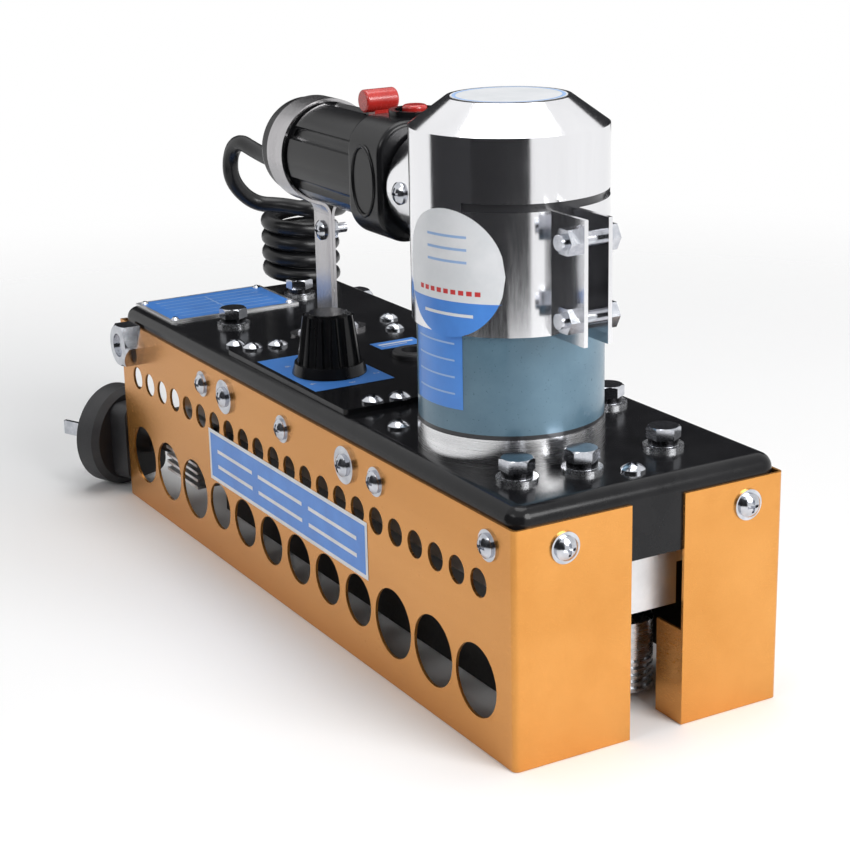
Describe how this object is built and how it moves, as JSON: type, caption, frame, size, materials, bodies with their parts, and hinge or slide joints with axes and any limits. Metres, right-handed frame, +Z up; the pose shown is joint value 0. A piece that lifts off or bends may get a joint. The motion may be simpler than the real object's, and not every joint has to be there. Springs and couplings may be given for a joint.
{
  "type": "continuous film heat sealer",
  "caption": "Portable motor-driven film heat sealer with gold perforated side covers, black top plate, chrome-capped motor, hand grip with red lever and coiled mains cord",
  "frame": {"origin": "middle of the footprint at table level", "axes": "+X along the film path towards the infeed end, +Y to the right of it, +Z up"},
  "size_m": [0.3678, 0.1311, 0.2003],
  "materials": {
    "gold_sheet": "satin",
    "black_paint": "gloss",
    "bright_steel": "polished",
    "fasteners": "satin",
    "drive_steel": "satin",
    "pale_metal": "satin",
    "motor_paint": "satin",
    "bronze": "satin",
    "belts": "matte",
    "black_plastic": "gloss",
    "red_plastic": "gloss",
    "board": "matte",
    "black_rubber": "matte"
  },
  "bodies": {
    "root": {"block_hangers": "pale_metal", "board_components": "black_plastic", "bolt_washers": "fasteners", "carrier_bolts": "fasteners", "carrier_plate": "pale_metal", "carrier_spacers": "pale_metal", "clamp_bolts": "fasteners", "control_board": "board", "control_panel": "black_paint", "cooling_blocks": "pale_metal", "cord_gland": "black_rubber", "cord_hank": "black_rubber", "cord_lead": "black_rubber", "cord_tail": "black_rubber", "cover_screws": "fasteners", "cover_washers": "fasteners", "cross_stud": "fasteners", "frame_plates": "black_paint", "front_sleeve": "bright_steel", "front_strap": "bright_steel", "grommet": "black_rubber", "handle_fasteners": "fasteners", "handle_left_shell": "black_plastic", "handle_right_shell": "black_plastic", "heat_sink": "pale_metal", "heating_blocks": "bronze", "heating_cartridges": "drive_steel", "left_belt": "belts", "left_cover": "gold_sheet", "lever_pin": "fasteners", "motor_base": "pale_metal", "motor_can": "motor_paint", "motor_cap": "bright_steel", "plate_screws": "fasteners", "plug": "black_rubber", "plug_blades": "fasteners", "potentiometer": "black_plastic", "rating_plate": "pale_metal", "rating_rivets": "fasteners", "rear_strap": "bright_steel", "right_belt": "belts", "right_cover": "gold_sheet", "roller_axles": "drive_steel", "shaft_bushes": "bronze", "switch_body": "black_plastic", "top_plate": "black_paint"},
    "knob": {"knob": "black_plastic", "knob_shaft": "drive_steel"},
    "switch_lever": {"switch_lever": "red_plastic"},
    "lock_button": {"lock_button": "red_plastic"},
    "left_drive": {"left_shaft": "drive_steel", "left_gear": "drive_steel", "left_pulley": "drive_steel"},
    "right_drive": {"right_shaft": "drive_steel", "right_gear": "drive_steel", "right_pulley": "drive_steel"},
    "left_idler": {"left_idler": "drive_steel"},
    "right_idler": {"right_idler": "drive_steel"},
    "left_feed": {"left_feed_roller": "drive_steel"},
    "right_feed": {"right_feed_roller": "drive_steel"}
  },
  "joints": [
    {"name": "knob_turn", "type": "hinge", "parent": "root", "child": "knob", "pos_m": [-0.006, -0.0285, 0.088], "axis": [0, 0, 1], "range_deg": [0, 300]},
    {"name": "lever_rock", "type": "hinge", "parent": "root", "child": "switch_lever", "pos_m": [-0.018, 0.002, 0.1705], "axis": [0, 1, 0], "range_deg": [-12, 12]},
    {"name": "button_press", "type": "slide", "parent": "root", "child": "lock_button", "axis": [0, 0, -1], "range_m": [0, 0.0025], "stiffness_N_per_m": 200, "springref_m": -0.002},
    {"name": "left_drive_turn", "type": "hinge", "parent": "root", "child": "left_drive", "pos_m": [0.095, -0.0125, 0.05], "axis": [0, 0, 1], "continuous": true},
    {"name": "right_drive_turn", "type": "hinge", "parent": "root", "child": "right_drive", "pos_m": [0.095, 0.0165, 0.05], "axis": [0, 0, 1], "continuous": true},
    {"name": "left_idler_turn", "type": "hinge", "parent": "root", "child": "left_idler", "pos_m": [-0.085, -0.0125, 0.02], "axis": [0, 0, 1], "continuous": true},
    {"name": "right_idler_turn", "type": "hinge", "parent": "root", "child": "right_idler", "pos_m": [-0.085, 0.0165, 0.02], "axis": [0, 0, 1], "continuous": true},
    {"name": "left_feed_turn", "type": "hinge", "parent": "root", "child": "left_feed", "pos_m": [0.126, -0.0082, 0.02], "axis": [0, 0, 1], "continuous": true},
    {"name": "right_feed_turn", "type": "hinge", "parent": "root", "child": "right_feed", "pos_m": [0.126, 0.0122, 0.02], "axis": [0, 0, 1], "continuous": true}
  ],
  "couplings": [
    {"joint": "right_drive_turn", "follows": "left_drive_turn", "ratio": -1},
    {"joint": "left_idler_turn", "follows": "left_drive_turn", "ratio": 1},
    {"joint": "right_idler_turn", "follows": "left_drive_turn", "ratio": -1},
    {"joint": "left_feed_turn", "follows": "left_drive_turn", "ratio": 1.4639},
    {"joint": "right_feed_turn", "follows": "left_drive_turn", "ratio": -1.4639}
  ]
}
